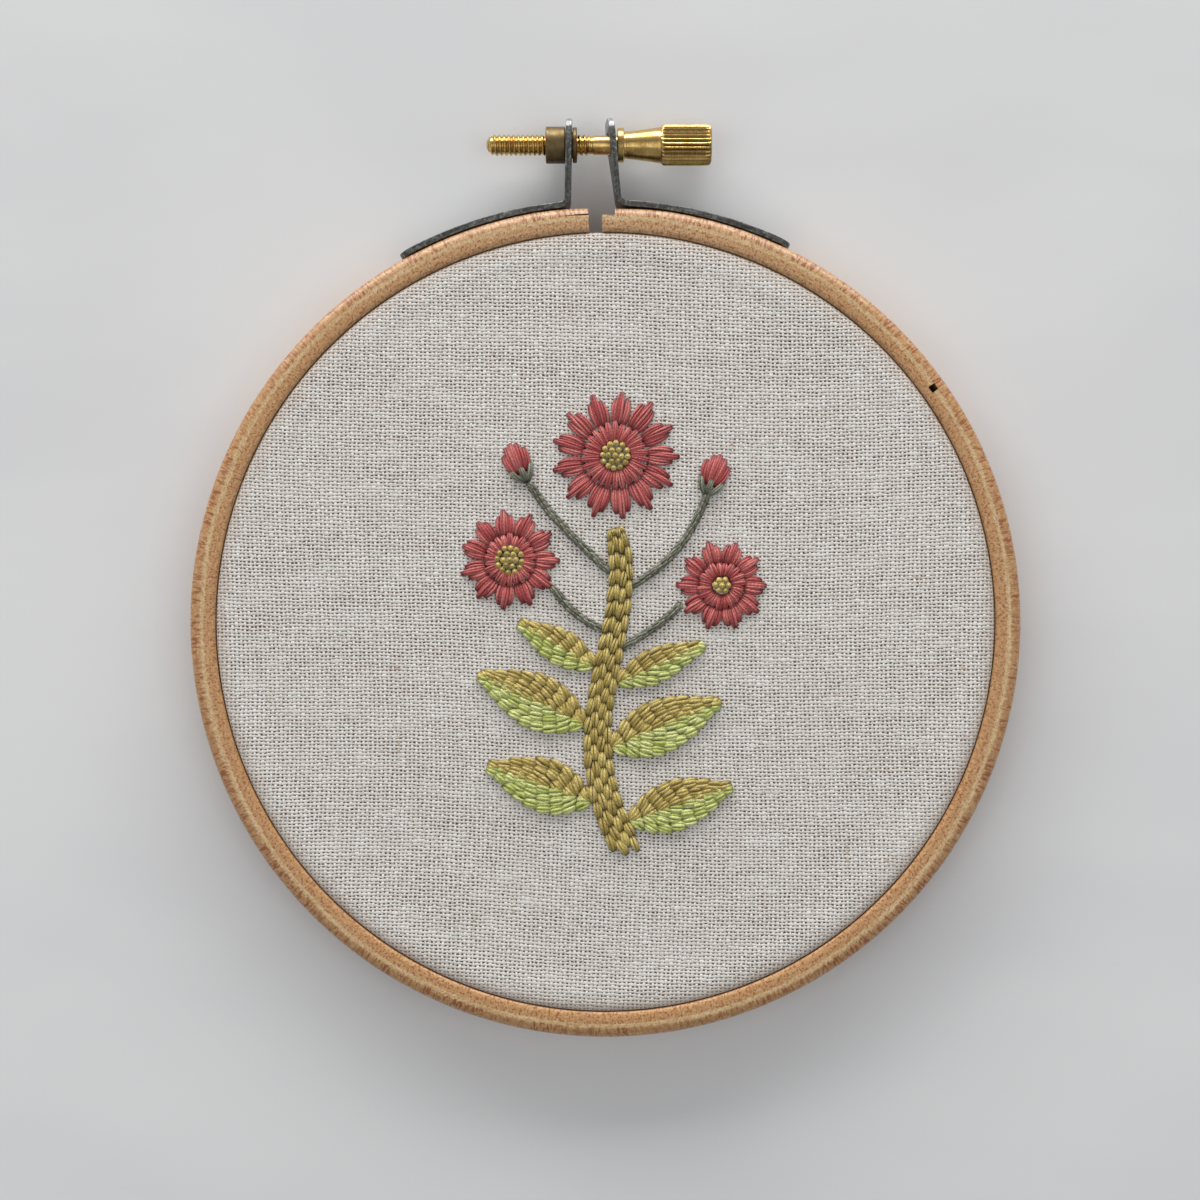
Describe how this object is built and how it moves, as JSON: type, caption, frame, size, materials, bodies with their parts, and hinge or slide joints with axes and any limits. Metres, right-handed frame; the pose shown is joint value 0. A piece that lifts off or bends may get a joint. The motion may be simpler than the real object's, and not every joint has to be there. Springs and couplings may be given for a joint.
{
  "type": "embroidered linen stretched in a wooden embroidery hoop",
  "caption": "Round wooden hoop with a brass thumb screw on steel straps, clamping stretched linen stitched with a flowering sprig.",
  "frame": {"origin": "on the surface under the middle of the whole piece, screw included; the hoop's centre is 7.5 mm towards -Y", "axes": "the hoop lies on its back: +Z is the way the stitched face looks, +Y runs from the hoop's centre to its screw, and +X runs along the screw to its knurled head"},
  "size_m": [0.1376, 0.1526, 0.0117],
  "materials": {
    "ring_wood": "light beech, sanded and unvarnished, with short darker flecks",
    "linen": "natural pale grey plain-weave linen with open holes and slubs",
    "strap_steel": "dark gunmetal steel strip with bright worn edges",
    "nut_brass": "aged dull bronze",
    "screw_brass": "bright turned brass with straight knurling",
    "red_floss": "dusty red stranded cotton, soft sheen",
    "green_floss": "grey-green stranded cotton, soft sheen",
    "ochre_floss": "ochre stranded cotton, soft sheen",
    "lime_floss": "pale lime green stranded cotton, soft sheen"
  },
  "bodies": {
    "hoop": {"outer_ring": "ring_wood", "inner_ring": "ring_wood", "cloth": "linen", "strap_left": "strap_steel", "strap_right": "strap_steel", "nut": "nut_brass", "stem": "ochre_floss", "stalk_left": "green_floss", "stalk_right": "green_floss", "stalk_bud_right": "green_floss", "stalk_bud_left": "green_floss", "leaf_low_right": "ochre_floss", "leaf_low_left": "lime_floss", "leaf_mid_right": "lime_floss", "leaf_mid_left": "ochre_floss", "leaf_top_right": "ochre_floss", "leaf_top_left": "lime_floss", "daisy_top": "red_floss", "daisy_top_eye": "ochre_floss", "daisy_left": "red_floss", "daisy_left_eye": "ochre_floss", "daisy_right": "red_floss", "daisy_right_eye": "ochre_floss", "bud_right": "red_floss", "bud_left": "red_floss"},
    "screw": {"thumb_screw": "screw_brass"}
  },
  "joints": [
    {"name": "screw_turn", "type": "hinge", "parent": "hoop", "child": "screw", "pos_m": [0, 0.0722, 0.00475], "axis": [1, 0, 0], "continuous": true}
  ]
}
